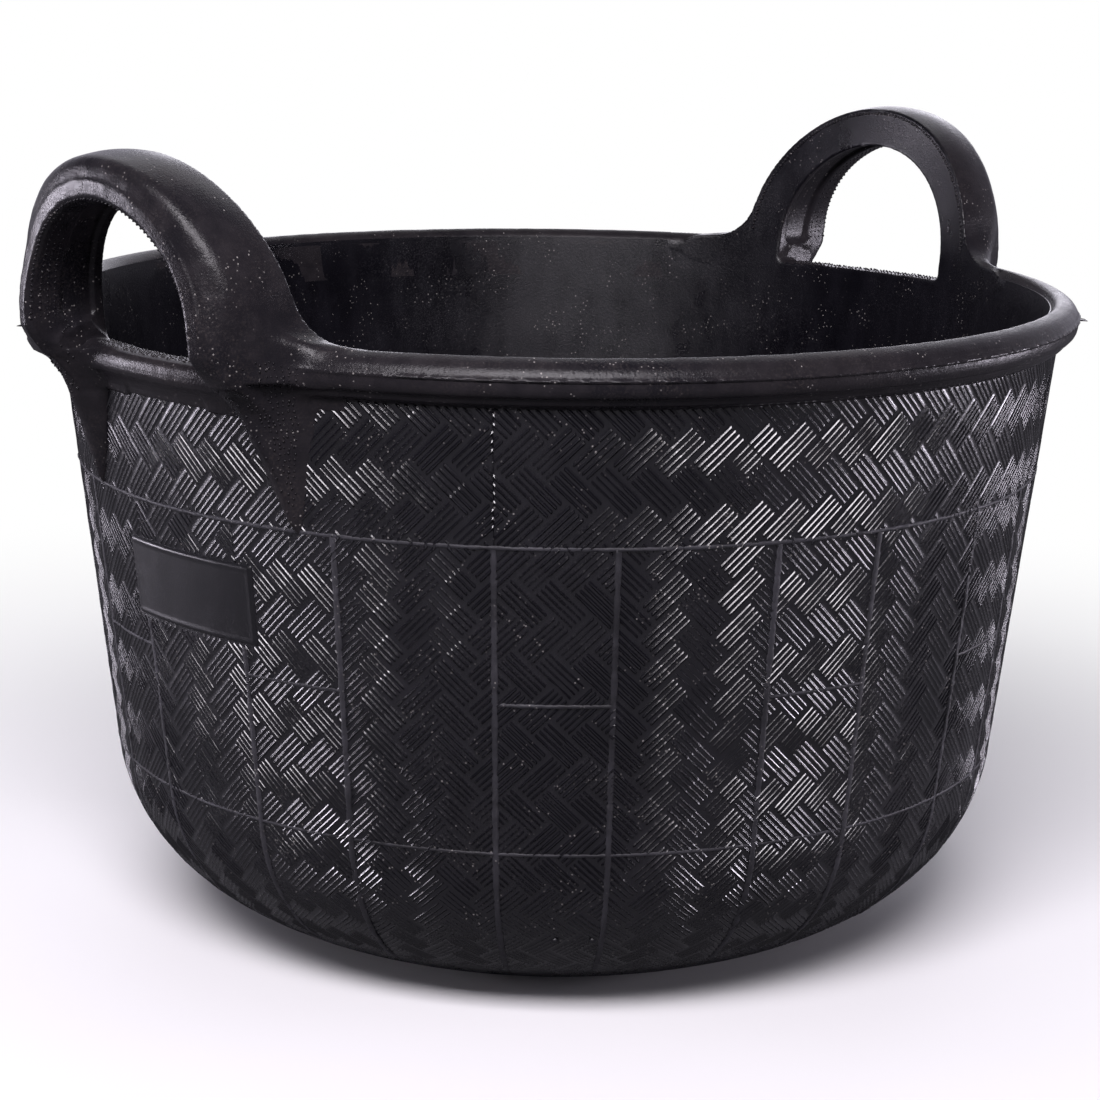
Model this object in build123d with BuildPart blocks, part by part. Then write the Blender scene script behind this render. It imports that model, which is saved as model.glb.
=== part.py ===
"""Mortar mixing tub: compression-moulded rubber bowl with two upstanding handle bows.

Frame: origin at the centre of the flat underside, +Z up, handles on +X (right) and -X (left).
Millimetres throughout. Radii are measured from the tub's axis.
"""

from build123d import *
import math
import os

os.makedirs("parts", exist_ok=True)

# ---- driving dimensions -------------------------------------------------------------------
rim_height = 309.5        # crest of the rolled rim above the ground
rim_outer_r = 250.0       # outermost line of the rim bead
wall_top_r = 242.2        # outer wall radius, projected to the crest height
wall_low_r = 216.7        # outer wall radius where the bottom corner begins
wall_low_z = 88.5
base_r = 98.0             # flat of the underside
wall_t = 6.0
floor_t = 8.0
wall_end_z = 283.0        # top edge of the wall, hidden under the rim bead
sill_z = 297.0            # lowered rim between the feet of a handle
crest_r = 241.5
root_base_z = rim_height - 19.5   # underside of the bead, where a root crosses the wall edge

handle_inner_half = 55.5  # half of the hand opening
handle_t = 17.5           # bow thickness in its own plane
arch_centre_z = 309.0     # the legs are straight up to here, then a half circle
handle_fillet = 7.0

knuckle_x = 249.0         # flex line of a handle foot
knuckle_z = 321.0
knuckle_r = 28.0
knuckle_gap = 0.5         # running clearance under a foot
side_gap = 0.6            # running clearance beside a foot

cord_r = 4.0
cord_gap = 0.1

root_tip_z = 229.0        # the fins end at the band line
pad_half_deg = 10.8       # blank label pad, half of its arc
pad_z = (173.0, 210.5)
pad_t = 1.2

wall_slope = (wall_top_r - wall_low_r) / (rim_height - wall_low_z)


def wall_r(z):
    """Outer radius of the straight wall at height z."""
    return wall_low_r + (z - wall_low_z) * wall_slope


def inner_r(z):
    """Inner radius of the straight wall at height z."""
    return wall_r(z) - wall_t


slot_in = handle_inner_half - side_gap
slot_out = handle_inner_half + handle_t + side_gap
arch_out = handle_inner_half + handle_t

# ---- shared cutters -----------------------------------------------------------------------
# Everything below the flex line that lies outside a foot's round bottom.
with BuildPart() as foot_trim:
    with BuildSketch(Plane.XZ.offset(150)):
        with Locations((knuckle_x, knuckle_z - 40)):
            Rectangle(160, 80)
        with Locations((knuckle_x, knuckle_z)):
            Circle(knuckle_r, mode=Mode.SUBTRACT)
    extrude(amount=-300)

# The round seat that a foot swings in.
with BuildPart() as seat_trim:
    with BuildSketch(Plane.XZ.offset(150)):
        with Locations((knuckle_x, knuckle_z)):
            Circle(knuckle_r + knuckle_gap)
    extrude(amount=-300)

# ---- bowl ---------------------------------------------------------------------------------
with BuildPart() as tub_shell:
    with BuildSketch(Plane.XZ):
        with BuildLine():
            Line((0, 0), (base_r, 0))
            Bezier((base_r, 0), (163.5, 0), (211.0, 39.5), (wall_low_r, wall_low_z))
            Line((wall_low_r, wall_low_z), (wall_r(wall_end_z), wall_end_z))
            Line((wall_r(wall_end_z), wall_end_z), (inner_r(wall_end_z), wall_end_z))
            Line((inner_r(wall_end_z), wall_end_z), (wall_low_r - wall_t, wall_low_z))
            Bezier((wall_low_r - wall_t, wall_low_z), (205.4, 44), (161, floor_t), (base_r, floor_t))
            Line((base_r, floor_t), (0, floor_t))
            Line((0, floor_t), (0, 0))
        make_face()
    revolve(axis=Axis.Z)

# ---- rim bead -----------------------------------------------------------------------------
with BuildPart() as rim_bead:
    with BuildSketch(Plane.XZ):
        with BuildLine():
            Line((inner_r(wall_end_z), wall_end_z), (inner_r(rim_height - 6.4), rim_height - 6.4))
            Bezier((inner_r(rim_height - 6.4), rim_height - 6.4), (inner_r(rim_height - 2.4), rim_height - 2.4),
                   (crest_r - 2.2, rim_height), (crest_r, rim_height))
            Bezier((crest_r, rim_height), (crest_r + 3.9, rim_height - 1.2), (rim_outer_r - 1.1, rim_height - 3.8),
                   (rim_outer_r, rim_height - 8.4))
            Bezier((rim_outer_r, rim_height - 8.4), (rim_outer_r + 0.2, rim_height - 13.9),
                   (rim_outer_r - 3, root_base_z + 2), (wall_r(root_base_z), root_base_z))
            Line((wall_r(root_base_z), root_base_z), (wall_r(wall_end_z), wall_end_z))
            Line((wall_r(wall_end_z), wall_end_z), (inner_r(wall_end_z), wall_end_z))
        make_face()
    revolve(axis=Axis.Z)
    # lowered sills in the hand openings
    with Locations((-knuckle_x, 0, sill_z + 20), (knuckle_x, 0, sill_z + 20)):
        Box(120, 2 * slot_out, 40, mode=Mode.SUBTRACT)
    # slots for the four roots and feet
    with Locations((knuckle_x, (slot_in + slot_out) / 2, root_base_z + 20),
                   (knuckle_x, -(slot_in + slot_out) / 2, root_base_z + 20),
                   (-knuckle_x, (slot_in + slot_out) / 2, root_base_z + 20),
                   (-knuckle_x, -(slot_in + slot_out) / 2, root_base_z + 20)):
        Box(120, slot_out - slot_in, 40, mode=Mode.SUBTRACT)

# Ramps where the rim sweeps up towards the handle feet, four of them.
with BuildPart() as rim_ramps:
    with BuildSketch(Plane.YZ.offset(-300)):
        for side in (1, -1):
            with BuildLine():
                ramp_top = (side * slot_out, 332)
                ramp_low = (side * 112, rim_height - 2.2)
                Line((side * slot_out, 295), ramp_top)
                Bezier(ramp_top, (side * 80, 315), (side * 92, rim_height - 0.9), ramp_low)
                Line(ramp_low, (side * 112, 295))
                Line((side * 112, 295), (side * slot_out, 295))
            make_face()
    extrude(amount=600)
    with BuildSketch(Plane.XZ):
        with BuildLine():
            Polyline((inner_r(295), 295), (inner_r(340), 340), (247, 340), (249.5, 295), close=True)
        make_face()
    revolve(axis=Axis.Z, mode=Mode.INTERSECT)

with BuildPart() as rim_whole:
    add(rim_bead.part)
    add(rim_ramps.part)
rim_bead = rim_whole

# ---- handle root, one fin (right side, +Y) --------------------------------------------------
# Thick fin under the foot.
with BuildPart() as root_fin:
    with BuildSketch(Plane.YZ.offset(150)):
        with BuildLine():
            Line((slot_in, 306), (slot_out, 306))
            Line((slot_out, 306), (slot_out, root_base_z))
            Line((slot_out, root_base_z), (77.5, 262))
            Line((77.5, 262), (74, 240))
            Line((74, 240), (71, 240))
            Line((71, 240), (59.5, 264))
            Line((59.5, 264), (slot_in, root_base_z))
            Line((slot_in, root_base_z), (slot_in, 306))
        make_face()
    extrude(amount=160)
    with BuildSketch(Plane.XZ):
        with BuildLine():
            Line((inner_r(root_base_z), root_base_z), (inner_r(306), 306))
            Line((inner_r(306), 306), (277, 306))
            Line((277, 306), (277.5, 301))
            Bezier((277.5, 301), (265, 289), (251, 279), (242.5, 251))
            Line((242.5, 251), (wall_r(238) + 2.5, 238))
            Line((wall_r(238) + 2.5, 238), (wall_r(238), 238))
            Line((wall_r(238), 238), (wall_r(root_base_z), root_base_z))
            Line((wall_r(root_base_z), root_base_z), (inner_r(root_base_z), root_base_z))
        make_face()
    revolve(axis=Axis.Z, mode=Mode.INTERSECT)

# Thin leaf that spreads the fin over the wall down to the band line.
with BuildPart() as root_leaf:
    with BuildSketch(Plane.YZ.offset(150)):
        with BuildLine():
            Line((38, root_base_z), (89, root_base_z))
            Bezier((89, root_base_z), (84.5, 278), (79.5, 260), (74, root_tip_z))
            Line((74, root_tip_z), (70.5, root_tip_z))
            Spline((70.5, root_tip_z), (66, 251), (60.5, 266), (55, 276), (47.5, 284), (38, root_base_z))
        make_face()
    extrude(amount=160)
    with BuildSketch(Plane.XZ):
        with BuildLine():
            Polyline((wall_r(root_tip_z - 3), root_tip_z - 3), (wall_r(root_base_z), root_base_z),
                     (wall_r(root_base_z) + 4.5, root_base_z), (wall_r(root_tip_z - 3) + 1.6, root_tip_z - 3),
                     close=True)
        make_face()
    revolve(axis=Axis.Z, mode=Mode.INTERSECT)

with BuildPart() as root_master:
    add(root_fin.part)
    add(root_leaf.part)
    add(seat_trim.part, mode=Mode.SUBTRACT)

# ---- cord in the right handle ---------------------------------------------------------------
lean = 8.5 / 76.0
cord_foot_z = knuckle_z - knuckle_r
cord_plane = Plane(origin=(251.0, 0, cord_foot_z), x_dir=(0, 1, 0), z_dir=(math.cos(math.atan(lean)), 0, -math.sin(math.atan(lean))))
cord_half = handle_inner_half + handle_t / 2


def cord_body(radius):
    """Round cord following the bow, before the ends are trimmed."""
    with BuildPart() as cord:
        with BuildLine(cord_plane) as path:
            arc_z = arch_centre_z - cord_foot_z
            Line((-cord_half, -8), (-cord_half, arc_z))
            ThreePointArc((-cord_half, arc_z), (0, arc_z + cord_half), (cord_half, arc_z))
            Line((cord_half, arc_z), (cord_half, -8))
        with BuildSketch(Plane(origin=path.line @ 0, z_dir=path.line % 0)):
            Circle(radius)
        sweep()
    return cord


cord_tunnel = cord_body(cord_r)
right_handle_cord = cord_body(cord_r - cord_gap)
with BuildPart() as right_handle_cord_trimmed:
    add(right_handle_cord.part)
    add(foot_trim.part, mode=Mode.SUBTRACT)
right_handle_cord = right_handle_cord_trimmed


def tail_body(radius, z_end):
    """The two ends of the cord, anchored in the roots below the flex line."""
    with BuildPart() as tails:
        for side in (1, -1):
            start = Vector(251.0, side * cord_half, cord_foot_z + 6)
            end = Vector(238.8, side * cord_half, z_end)
            with BuildSketch(Plane(origin=start, z_dir=(end - start).normalized())):
                Circle(radius)
            extrude(amount=(end - start).length)
        add(seat_trim.part, mode=Mode.SUBTRACT)
    return tails


tail_tunnel = tail_body(cord_r, 278.0)
right_cord_tails = tail_body(cord_r - cord_gap, 278.2)

# ---- right handle bow ------------------------------------------------------------------------
with BuildPart() as right_handle_bow:
    with BuildSketch(Plane.YZ.offset(150)):
        with BuildLine():
            Line((arch_out, 290), (arch_out, arch_centre_z))
            ThreePointArc((arch_out, arch_centre_z), (0, arch_centre_z + arch_out), (-arch_out, arch_centre_z))
            Line((-arch_out, arch_centre_z), (-arch_out, 290))
            Line((-arch_out, 290), (-handle_inner_half, 290))
            Line((-handle_inner_half, 290), (-handle_inner_half, arch_centre_z))
            ThreePointArc((-handle_inner_half, arch_centre_z), (0, arch_centre_z + handle_inner_half),
                          (handle_inner_half, arch_centre_z))
            Line((handle_inner_half, arch_centre_z), (handle_inner_half, 290))
            Line((handle_inner_half, 290), (arch_out, 290))
        make_face()
    extrude(amount=160)
    with BuildSketch(Plane.XZ):
        with BuildLine():
            Line((inner_r(280), 280), (inner_r(400), 400))
            Line((inner_r(400), 400), (279.5, 400))
            Bezier((279.5, 400), (279, 350), (276.5, 330), (278, 280))
            Line((278, 280), (inner_r(280), 280))
        make_face()
    revolve(axis=Axis.Z, mode=Mode.INTERSECT)
    # grip edges rounded: the outer face rolls into the top of the bow
    crown = right_handle_bow.edges().filter_by(lambda e: e.center().Z > 335 and e.length > 60)
    outer_top = crown.filter_by(lambda e: math.hypot((e @ 0.5).X, (e @ 0.5).Y) > 262 and (e @ 0.5).Z > 371)
    fillet(outer_top, handle_fillet)
    add(foot_trim.part, mode=Mode.SUBTRACT)
    add(cord_tunnel.part, mode=Mode.SUBTRACT)

# ---- roots with their cord tunnels, mirrored to the four places -------------------------------
with BuildPart() as right_rear_root:
    add(root_master.part)
    add(tail_tunnel.part, mode=Mode.SUBTRACT)

with BuildPart() as right_front_root:
    add(mirror(right_rear_root.part, about=Plane.XZ, mode=Mode.PRIVATE))

with BuildPart() as left_rear_root:
    add(mirror(right_rear_root.part, about=Plane.YZ, mode=Mode.PRIVATE))

with BuildPart() as left_front_root:
    add(mirror(right_front_root.part, about=Plane.YZ, mode=Mode.PRIVATE))

with BuildPart() as left_handle_bow:
    add(mirror(right_handle_bow.part, about=Plane.YZ, mode=Mode.PRIVATE))

with BuildPart() as left_handle_cord:
    add(mirror(right_handle_cord.part, about=Plane.YZ, mode=Mode.PRIVATE))

with BuildPart() as left_cord_tails:
    add(mirror(right_cord_tails.part, about=Plane.YZ, mode=Mode.PRIVATE))

# ---- blank label pad under the left handle -----------------------------------------------------
with BuildPart() as label_pad:
    pad_plane = Plane(origin=(0, 0, 0), x_dir=(math.cos(math.radians(180 - pad_half_deg)),
                                               math.sin(math.radians(180 - pad_half_deg)), 0),
                      z_dir=(math.sin(math.radians(180 - pad_half_deg)),
                             -math.cos(math.radians(180 - pad_half_deg)), 0))
    with BuildSketch(pad_plane):
        with BuildLine():
            Polyline((wall_r(pad_z[0]), pad_z[0]), (wall_r(pad_z[1]), pad_z[1]),
                     (wall_r(pad_z[1]) + pad_t, pad_z[1] - 1), (wall_r(pad_z[0]) + pad_t, pad_z[0] + 1),
                     close=True)
        make_face()
    revolve(axis=Axis.Z, revolution_arc=2 * pad_half_deg)

# ---- labels and files ----------------------------------------------------------------------------
tub_shell.part.label = "tub_shell"
rim_bead.part.label = "rim_bead"
left_handle_bow.part.label = "left_handle_bow"
right_handle_bow.part.label = "right_handle_bow"
left_front_root.part.label = "left_front_root"
left_rear_root.part.label = "left_rear_root"
right_front_root.part.label = "right_front_root"
right_rear_root.part.label = "right_rear_root"
left_handle_cord.part.label = "left_handle_cord"
right_handle_cord.part.label = "right_handle_cord"
left_cord_tails.part.label = "left_cord_tails"
right_cord_tails.part.label = "right_cord_tails"
label_pad.part.label = "label_pad"

export_step(tub_shell.part, "parts/tub_shell.step")
export_step(rim_bead.part, "parts/rim_bead.step")
export_step(left_handle_bow.part, "parts/left_handle_bow.step")
export_step(right_handle_bow.part, "parts/right_handle_bow.step")
export_step(left_front_root.part, "parts/left_front_root.step")
export_step(left_rear_root.part, "parts/left_rear_root.step")
export_step(right_front_root.part, "parts/right_front_root.step")
export_step(right_rear_root.part, "parts/right_rear_root.step")
export_step(left_handle_cord.part, "parts/left_handle_cord.step")
export_step(right_handle_cord.part, "parts/right_handle_cord.step")
export_step(left_cord_tails.part, "parts/left_cord_tails.step")
export_step(right_cord_tails.part, "parts/right_cord_tails.step")
export_step(label_pad.part, "parts/label_pad.step")
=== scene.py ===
import bpy
import math
import numpy as np
from mathutils import Matrix, Vector
from mathutils.geometry import delaunay_2d_cdt


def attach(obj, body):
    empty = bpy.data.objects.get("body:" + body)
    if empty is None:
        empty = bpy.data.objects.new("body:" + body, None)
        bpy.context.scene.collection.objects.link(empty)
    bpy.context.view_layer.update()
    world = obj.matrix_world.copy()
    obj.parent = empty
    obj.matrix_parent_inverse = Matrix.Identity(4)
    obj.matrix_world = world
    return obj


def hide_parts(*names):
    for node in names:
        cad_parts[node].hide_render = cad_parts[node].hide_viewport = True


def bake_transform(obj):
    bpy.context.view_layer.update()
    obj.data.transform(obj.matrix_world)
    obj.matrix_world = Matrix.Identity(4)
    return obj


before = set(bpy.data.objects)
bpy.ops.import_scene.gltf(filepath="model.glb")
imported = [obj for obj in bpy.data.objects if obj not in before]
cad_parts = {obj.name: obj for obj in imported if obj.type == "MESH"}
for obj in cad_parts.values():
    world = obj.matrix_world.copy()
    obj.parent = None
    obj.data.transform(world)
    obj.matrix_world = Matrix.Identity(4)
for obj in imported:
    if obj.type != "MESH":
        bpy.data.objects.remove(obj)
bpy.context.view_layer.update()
RNG = np.random.default_rng(873)
MM = 0.001

# ------------------------------------------------------------------ tub geometry, mm
H = 309.5
SLOPE = (242.2 - 216.7) / (H - 88.5)
WALL_T = 6.0
BAND_Z, MID_Z, LOW_Z = 228.8, 159.5, 91.0
WIDE_HALF = 8.65            # half angle of a wide panel, degrees
RIM_CUT = 30.0              # the handle pieces cover this many degrees each side of a handle
ARCH_Z, R_IN = 309.0, 55.5
SILL = 297.0


def wall_r(z):
    return 216.7 + (z - 88.5) * SLOPE


def inner_r(z):
    return wall_r(z) - WALL_T


def bezier(p0, p1, p2, p3, n):
    t = np.linspace(0, 1, n)[:, None]
    p0, p1, p2, p3 = (np.array(p, float) for p in (p0, p1, p2, p3))
    return (1 - t) ** 3 * p0 + 3 * (1 - t) ** 2 * t * p1 + 3 * (1 - t) * t * t * p2 + t ** 3 * p3


def sst(x):
    x = np.clip(x, 0, 1)
    return x * x * (3 - 2 * x)


def value_noise(p, scale, seed):
    """Smooth repeatable noise in -1..1 at points p, one cell per `scale`."""
    q = np.asarray(p, float) / scale
    i = np.floor(q).astype(np.int64)
    f = q - i
    f = f * f * (3 - 2 * f)
    out = np.zeros(len(q))
    for dx in (0, 1):
        for dy in (0, 1):
            for dz in (0, 1):
                h = ((i[:, 0] + dx) * 374761393 + (i[:, 1] + dy) * 668265263 + (i[:, 2] + dz) * 2147483647 + seed * 1274126177) & 0xFFFFFFFF
                h = ((h ^ (h >> 13)) * 1274126177) & 0xFFFFFFFF
                h = (h ^ (h >> 16)) & 0xFFFF
                w = (f[:, 0] if dx else 1 - f[:, 0]) * (f[:, 1] if dy else 1 - f[:, 1]) * (f[:, 2] if dz else 1 - f[:, 2])
                out += w * (h / 32767.5 - 1)
    return out


def make_mesh(name, verts_mm, faces, smooth=True, attrs=None, sharp=None):
    me = bpy.data.meshes.new(name)
    me.from_pydata((np.asarray(verts_mm) * MM).tolist(), [], [tuple(int(i) for i in f) for f in faces] if not isinstance(faces, list) else faces)
    me.validate(clean_customdata=False)
    if smooth:
        me.polygons.foreach_set("use_smooth", [True] * len(me.polygons))
    for key, data in (attrs or {}).items():
        a = me.attributes.new(key, "FLOAT", "POINT")
        a.data.foreach_set("value", np.asarray(data, np.float32))
    me.update()
    ob = bpy.data.objects.new(name, me)
    bpy.context.scene.collection.objects.link(ob)
    if sharp is not None:
        me.set_sharp_from_angle(angle=math.radians(sharp))
    return ob


# ------------------------------------------------------------------ materials
def node(nt, kind, **kw):
    n = nt.nodes.new(kind)
    for k, v in kw.items():
        if k in n.inputs:
            n.inputs[k].default_value = v
        else:
            setattr(n, k, v)
    return n


def rubber(name, dark=(0.006, 0.006, 0.0075), light=(0.014, 0.0135, 0.0165), dust=(0.075, 0.06, 0.05), dust_amount=0.35,
           rough=(0.38, 0.52), grain=0.3, dots=0.0, crest=False, sheen=0.004, glitter=0.0, blotch_scale=13.0, streak=False, spec=0.5):
    m = bpy.data.materials.new(name)
    m.use_nodes = True
    nt = m.node_tree
    nt.nodes.clear()
    L = nt.links.new
    out = node(nt, "ShaderNodeOutputMaterial")
    bsdf = node(nt, "ShaderNodeBsdfPrincipled")
    L(bsdf.outputs[0], out.inputs[0])
    bsdf.inputs["IOR"].default_value = 1.5
    bsdf.inputs["Sheen Weight"].default_value = sheen
    bsdf.inputs["Sheen Roughness"].default_value = 0.45
    bsdf.inputs["Sheen Tint"].default_value = (0.62, 0.58, 0.78, 1)
    tc = node(nt, "ShaderNodeTexCoord")

    def noise(scale, detail=4.0, rough_=0.6, off=0.0, stretch=None):
        n = node(nt, "ShaderNodeTexNoise")
        n.inputs["Scale"].default_value = scale
        n.inputs["Detail"].default_value = detail
        n.inputs["Roughness"].default_value = rough_
        mp = node(nt, "ShaderNodeMapping")
        mp.inputs["Location"].default_value = (off, off * 1.7, off * 0.6)
        if stretch:
            mp.inputs["Scale"].default_value = stretch
        L(tc.outputs["Object"], mp.inputs[0])
        L(mp.outputs[0], n.inputs["Vector"])
        return n.outputs["Fac"]

    def ramp(fac, *stops):
        r = node(nt, "ShaderNodeValToRGB")
        e = r.color_ramp.elements
        while len(e) < len(stops):
            e.new(0.5)
        for i, (pos, col) in enumerate(stops):
            e[i].position = pos
            e[i].color = col if len(col) == 4 else (*col, 1)
        L(fac, r.inputs[0])
        return r.outputs[0]

    def math_(op, a, b=None, c=None):
        n = node(nt, "ShaderNodeMath")
        n.operation = op
        for i, x in enumerate((a, b, c)):
            if x is None:
                continue
            if isinstance(x, (int, float)):
                n.inputs[i].default_value = x
            else:
                L(x, n.inputs[i])
        return n.outputs[0]

    def mix(fac, a, b):
        n = node(nt, "ShaderNodeMix")
        n.data_type = "RGBA"
        for sock, x in ((n.inputs[0], fac), (n.inputs[6], a), (n.inputs[7], b)):
            if isinstance(x, (int, float)):
                sock.default_value = x
            elif isinstance(x, tuple):
                sock.default_value = (*x, 1)
            else:
                L(x, sock)
        return n.outputs[2]

    blot = noise(blotch_scale, 5.0, 0.62, 3.1)
    mid = noise(95.0, 5.0, 0.6, 7.7, (1, 1, 0.35) if streak else None)
    fine = noise(900.0, 3.0, 0.65, 1.3)
    micro = noise(2600.0, 2.0, 0.6, 5.9)
    base = mix(ramp(blot, (0.32, (0, 0, 0)), (0.72, (1, 1, 1))), dark, light)
    base = mix(ramp(mid, (0.45, (0, 0, 0)), (0.8, (0.55, 0.55, 0.55))), base, tuple(v * 1.55 for v in light))
    # cement dust caught in the grain
    dmask = math_("MULTIPLY", ramp(noise(26.0, 4.0, 0.6, 12.0), (0.42, (0, 0, 0)), (0.68, (1, 1, 1))), ramp(fine, (0.5, (0, 0, 0)), (0.66, (1, 1, 1))))
    base = mix(math_("MULTIPLY", dmask, dust_amount), base, dust)
    vor = node(nt, "ShaderNodeTexVoronoi")
    vor.inputs["Scale"].default_value = 420.0
    L(tc.outputs["Object"], vor.inputs["Vector"])
    specks = ramp(vor.outputs["Distance"], (0.1, (1, 1, 1)), (0.2, (0, 0, 0)))
    if glitter:
        base = mix(math_("MULTIPLY", math_("MULTIPLY", specks, glitter), ramp(noise(60.0, 2.0, 0.5, 22.0), (0.5, (0, 0, 0)), (0.62, (1, 1, 1)))), base, (0.5, 0.47, 0.45))
    height = math_("MULTIPLY_ADD", fine, 0.55, math_("MULTIPLY", micro, 0.3))
    height = math_("MULTIPLY_ADD", mid, 0.5, height)
    if dots:
        v2 = node(nt, "ShaderNodeTexVoronoi")
        v2.inputs["Scale"].default_value = 560.0
        v2.inputs["Randomness"].default_value = 0.35
        L(tc.outputs["Object"], v2.inputs["Vector"])
        height = math_("MULTIPLY_ADD", ramp(v2.outputs["Distance"], (0.1, (1, 1, 1)), (0.42, (0, 0, 0))), dots, height)
    r_ = node(nt, "ShaderNodeMapRange")
    r_.inputs["From Min"].default_value = 0.3
    r_.inputs["From Max"].default_value = 0.7
    r_.inputs["To Min"].default_value = rough[0]
    r_.inputs["To Max"].default_value = rough[1]
    L(math_("MULTIPLY_ADD", mid, 0.35, math_("MULTIPLY", blot, 0.65)), r_.inputs["Value"])
    rough_out = math_("MULTIPLY_ADD", dmask, 0.2, r_.outputs[0])
    if crest:
        at = node(nt, "ShaderNodeAttribute")
        at.attribute_name = "crest"
        line = math_("POWER", at.outputs["Fac"], 3.2)
        # painted highlight: the ridge crests are lightened in the base colour to stand for the thin lines of light they
        # catch, varied by wear noise
        wear_and_crest_highlight = math_("MULTIPLY", line, ramp(noise(34.0, 4.0, 0.6, 31.0), (0.3, (0.25, 0.25, 0.25)), (0.7, (1, 1, 1))))
        base = mix(math_("MULTIPLY", wear_and_crest_highlight, 0.5), base, (0.03, 0.03, 0.036))
        rough_out = math_("MULTIPLY_ADD", line, -0.16, rough_out)
        rnd = node(nt, "ShaderNodeMapRange")
        rnd.interpolation_type = "SMOOTHSTEP"
        rnd.inputs["From Min"].default_value = 0.28
        rnd.inputs["From Max"].default_value = 0.97
        L(at.outputs["Fac"], rnd.inputs["Value"])
    L(base, bsdf.inputs["Base Color"])
    L(rough_out, bsdf.inputs["Roughness"])
    bsdf.inputs["Specular IOR Level"].default_value = spec
    b = node(nt, "ShaderNodeBump")
    b.inputs["Strength"].default_value = grain
    b.inputs["Distance"].default_value = 0.0006
    L(height, b.inputs["Height"])
    if crest:
        b0 = node(nt, "ShaderNodeBump")
        b0.inputs["Strength"].default_value = 1.0
        b0.inputs["Distance"].default_value = 0.0007
        L(rnd.outputs[0], b0.inputs["Height"])
        L(b0.outputs[0], b.inputs["Normal"])
    L(b.outputs[0], bsdf.inputs["Normal"])
    return m


def cord_material():
    m = bpy.data.materials.new("twisted_cord")
    m.use_nodes = True
    nt = m.node_tree
    bsdf = nt.nodes["Principled BSDF"]
    tc = node(nt, "ShaderNodeTexCoord")
    w = node(nt, "ShaderNodeTexWave")
    w.inputs["Scale"].default_value = 220.0
    w.inputs["Distortion"].default_value = 1.5
    w.bands_direction = "DIAGONAL"
    nt.links.new(tc.outputs["Object"], w.inputs["Vector"])
    r = node(nt, "ShaderNodeValToRGB")
    r.color_ramp.elements[0].color = (0.20, 0.16, 0.11, 1)
    r.color_ramp.elements[1].color = (0.55, 0.49, 0.38, 1)
    nt.links.new(w.outputs["Fac"], r.inputs[0])
    nt.links.new(r.outputs[0], bsdf.inputs["Base Color"])
    bsdf.inputs["Roughness"].default_value = 0.85
    b = node(nt, "ShaderNodeBump")
    b.inputs["Strength"].default_value = 0.6
    b.inputs["Distance"].default_value = 0.0006
    nt.links.new(w.outputs["Fac"], b.inputs["Height"])
    nt.links.new(b.outputs[0], bsdf.inputs["Normal"])
    return m


MAT_WALL = rubber("woven_rubber", dark=(0.0019, 0.0018, 0.003), light=(0.005, 0.0046, 0.0068), crest=True, grain=0.14, dust=(0.05, 0.043, 0.046), dust_amount=0.12, glitter=0.4, rough=(0.18, 0.32), spec=0.75)
MAT_RIB = rubber("seam_rubber", dark=(0.007, 0.0068, 0.0085), light=(0.034, 0.033, 0.04), dust=(0.07, 0.066, 0.07), grain=0.7, dust_amount=0.4, glitter=0.5, rough=(0.4, 0.6), spec=0.4)
MAT_RIM = rubber("rim_rubber", dark=(0.0085, 0.008, 0.0104), light=(0.0185, 0.0162, 0.0182), dust=(0.07, 0.057, 0.052), grain=0.32, dust_amount=0.3, glitter=0.5, rough=(0.22, 0.4), dots=0.25, spec=0.2)
MAT_IN = rubber("inside_rubber", dark=(0.0022, 0.002, 0.0034), light=(0.0056, 0.0052, 0.0078), dust=(0.024, 0.022, 0.028), grain=0.4, dust_amount=0.25, rough=(0.18, 0.46), streak=True, spec=0.36, glitter=0.3)
MAT_PAD = rubber("pad_rubber", dark=(0.0028, 0.0028, 0.0038), light=(0.006, 0.0058, 0.0078), dust=(0.04, 0.038, 0.045), grain=0.15, dust_amount=0.15, rough=(0.28, 0.42), streak=True)
MAT_CORD = cord_material()

# ------------------------------------------------------------------ outer meridian and its conformal length
top_line = np.stack([wall_r(np.linspace(88.5, 292.5, 700)), np.linspace(88.5, 292.5, 700)], 1)
corner = bezier((98, 0), (163.5, 0), (211.0, 39.5), (216.7, 88.5), 900)
flat = np.stack([np.linspace(20, 98, 200), np.zeros(200)], 1)
MER = np.vstack([flat[:-1], corner[:-1], top_line])
N_COL = 810
R0 = 228.9
DU = 2 * math.pi * R0 / N_COL
seg = np.hypot(*np.diff(MER, axis=0).T)
rm = 0.5 * (MER[1:, 0] + MER[:-1, 0])
V = np.concatenate([[0], np.cumsum(seg * R0 / rm)])
V -= np.interp(BAND_Z, MER[-700:, 1], V[-700:])
tan = np.gradient(MER, axis=0)
tan /= np.linalg.norm(tan, axis=1)[:, None]
NORMAL = np.stack([tan[:, 1], -tan[:, 0]], 1)


def surf(u, v, off):
    """Point on the outer wall at unrolled place (u, v), off mm outwards."""
    r = np.interp(v, V, MER[:, 0])
    z = np.interp(v, V, MER[:, 1])
    nr = np.interp(v, V, NORMAL[:, 0])
    nz = np.interp(v, V, NORMAL[:, 1])
    rr, zz = r + nr * off, z + nz * off
    a = u / R0
    return np.stack([rr * np.cos(a), rr * np.sin(a), zz], -1)


def v_of_z(z):
    return float(np.interp(z, MER[-700:, 1], V[-700:]))


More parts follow.
